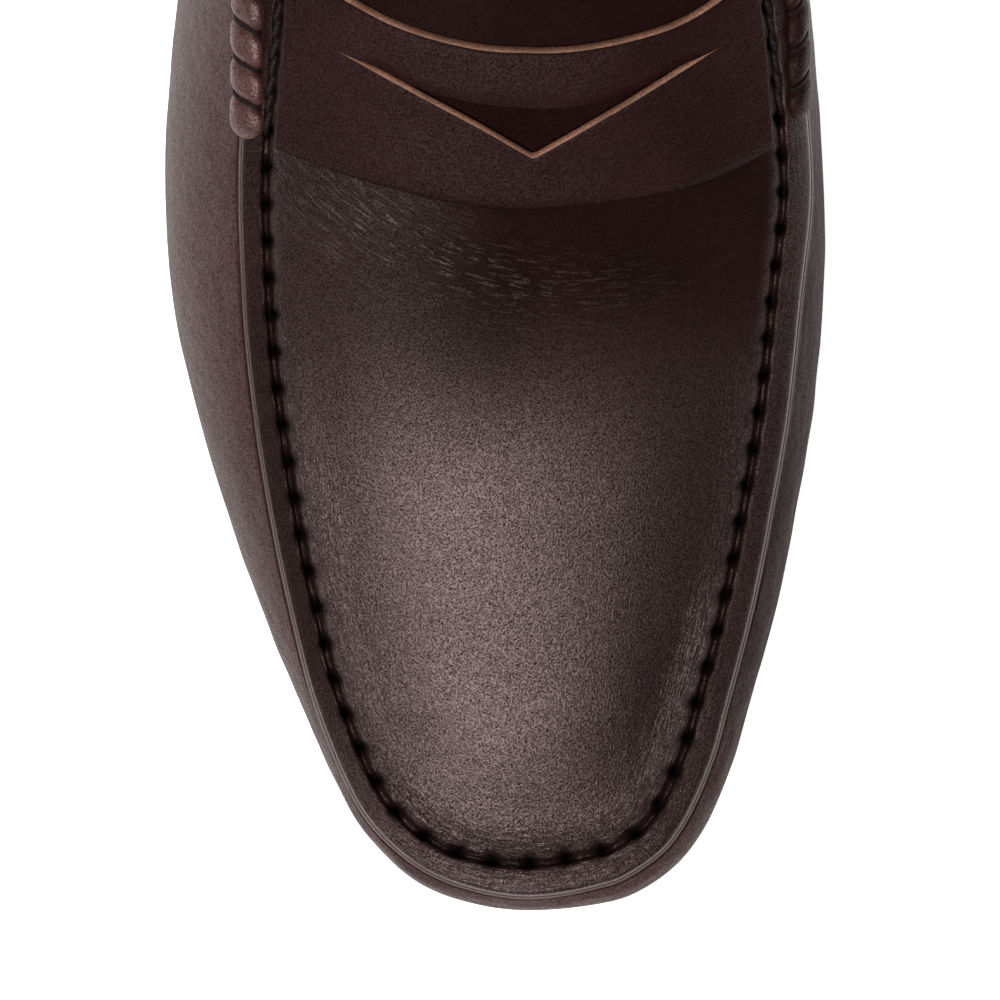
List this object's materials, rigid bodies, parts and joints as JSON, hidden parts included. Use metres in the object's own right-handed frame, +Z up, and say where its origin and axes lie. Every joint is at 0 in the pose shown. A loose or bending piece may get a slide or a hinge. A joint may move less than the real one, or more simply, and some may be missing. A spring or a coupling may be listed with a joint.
{
  "type": "moccasin",
  "caption": "Right-foot driving moccasin: wrapped leather upper, hand-sewn apron, slotted saddle strap with beef rolls, hinged tongue, pebbled rubber sole units",
  "frame": {"origin": "centre of the bounding box seen from above, on the ground under the pebbles", "axes": "+Z up, toe toward -Y, the inner (medial) side of the right foot toward +X"},
  "size_m": [0.1038, 0.2872, 0.0901],
  "materials": {
    "vamp": "semi-gloss",
    "apron": "semi-gloss",
    "apron_lining": "matte",
    "vamp_lining": "matte",
    "toe_puff": "matte",
    "saddle_strap": "semi-gloss",
    "strap_backing": "matte",
    "beefroll_lateral": "semi-gloss",
    "beefroll_medial": "semi-gloss",
    "beefroll_thread_lateral": "waxed",
    "beefroll_thread_medial": "waxed",
    "apron_seam_thread": "waxed",
    "side_seam_thread_lateral": "waxed",
    "side_seam_thread_medial": "waxed",
    "quarter_lateral": "semi-gloss",
    "quarter_medial": "semi-gloss",
    "quarter_lining_lateral": "matte",
    "quarter_lining_medial": "matte",
    "waist_leather": "matte",
    "heel_counter": "matte",
    "heel_grip": "suede",
    "backstay": "semi-gloss",
    "heel_rubber_tab": "matte",
    "topline_binding": "semi-gloss",
    "tongue": "semi-gloss",
    "tongue_lining": "matte",
    "insole_board": "matte",
    "footbed_foam": "matte",
    "sock_liner": "matte",
    "forefoot_sole": "matte",
    "heel_sole": "matte"
  },
  "bodies": {
    "shoe": {"vamp": "vamp", "apron": "apron", "apron_lining": "apron_lining", "vamp_lining": "vamp_lining", "toe_puff": "toe_puff", "saddle_strap": "saddle_strap", "strap_backing": "strap_backing", "beefroll_lateral": "beefroll_lateral", "beefroll_medial": "beefroll_medial", "beefroll_thread_lateral": "beefroll_thread_lateral", "beefroll_thread_medial": "beefroll_thread_medial", "apron_seam_thread": "apron_seam_thread", "side_seam_thread_lateral": "side_seam_thread_lateral", "side_seam_thread_medial": "side_seam_thread_medial", "quarter_lateral": "quarter_lateral", "quarter_medial": "quarter_medial", "quarter_lining_lateral": "quarter_lining_lateral", "quarter_lining_medial": "quarter_lining_medial", "waist_leather": "waist_leather", "heel_counter": "heel_counter", "heel_grip": "heel_grip", "backstay": "backstay", "heel_rubber_tab": "heel_rubber_tab", "topline_binding": "topline_binding", "insole_board": "insole_board", "footbed_foam": "footbed_foam", "sock_liner": "sock_liner", "forefoot_sole": "forefoot_sole", "heel_sole": "heel_sole"},
    "tongue_flap": {"tongue": "tongue", "tongue_lining": "tongue_lining"}
  },
  "joints": [
    {"name": "tongue_hinge", "type": "hinge", "parent": "shoe", "child": "tongue_flap", "pos_m": [0.004, 0.0021, 0.0736], "axis": [1, 0, 0], "range_deg": [-4, 40], "stiffness_Nm_per_rad": 0.05}
  ]
}
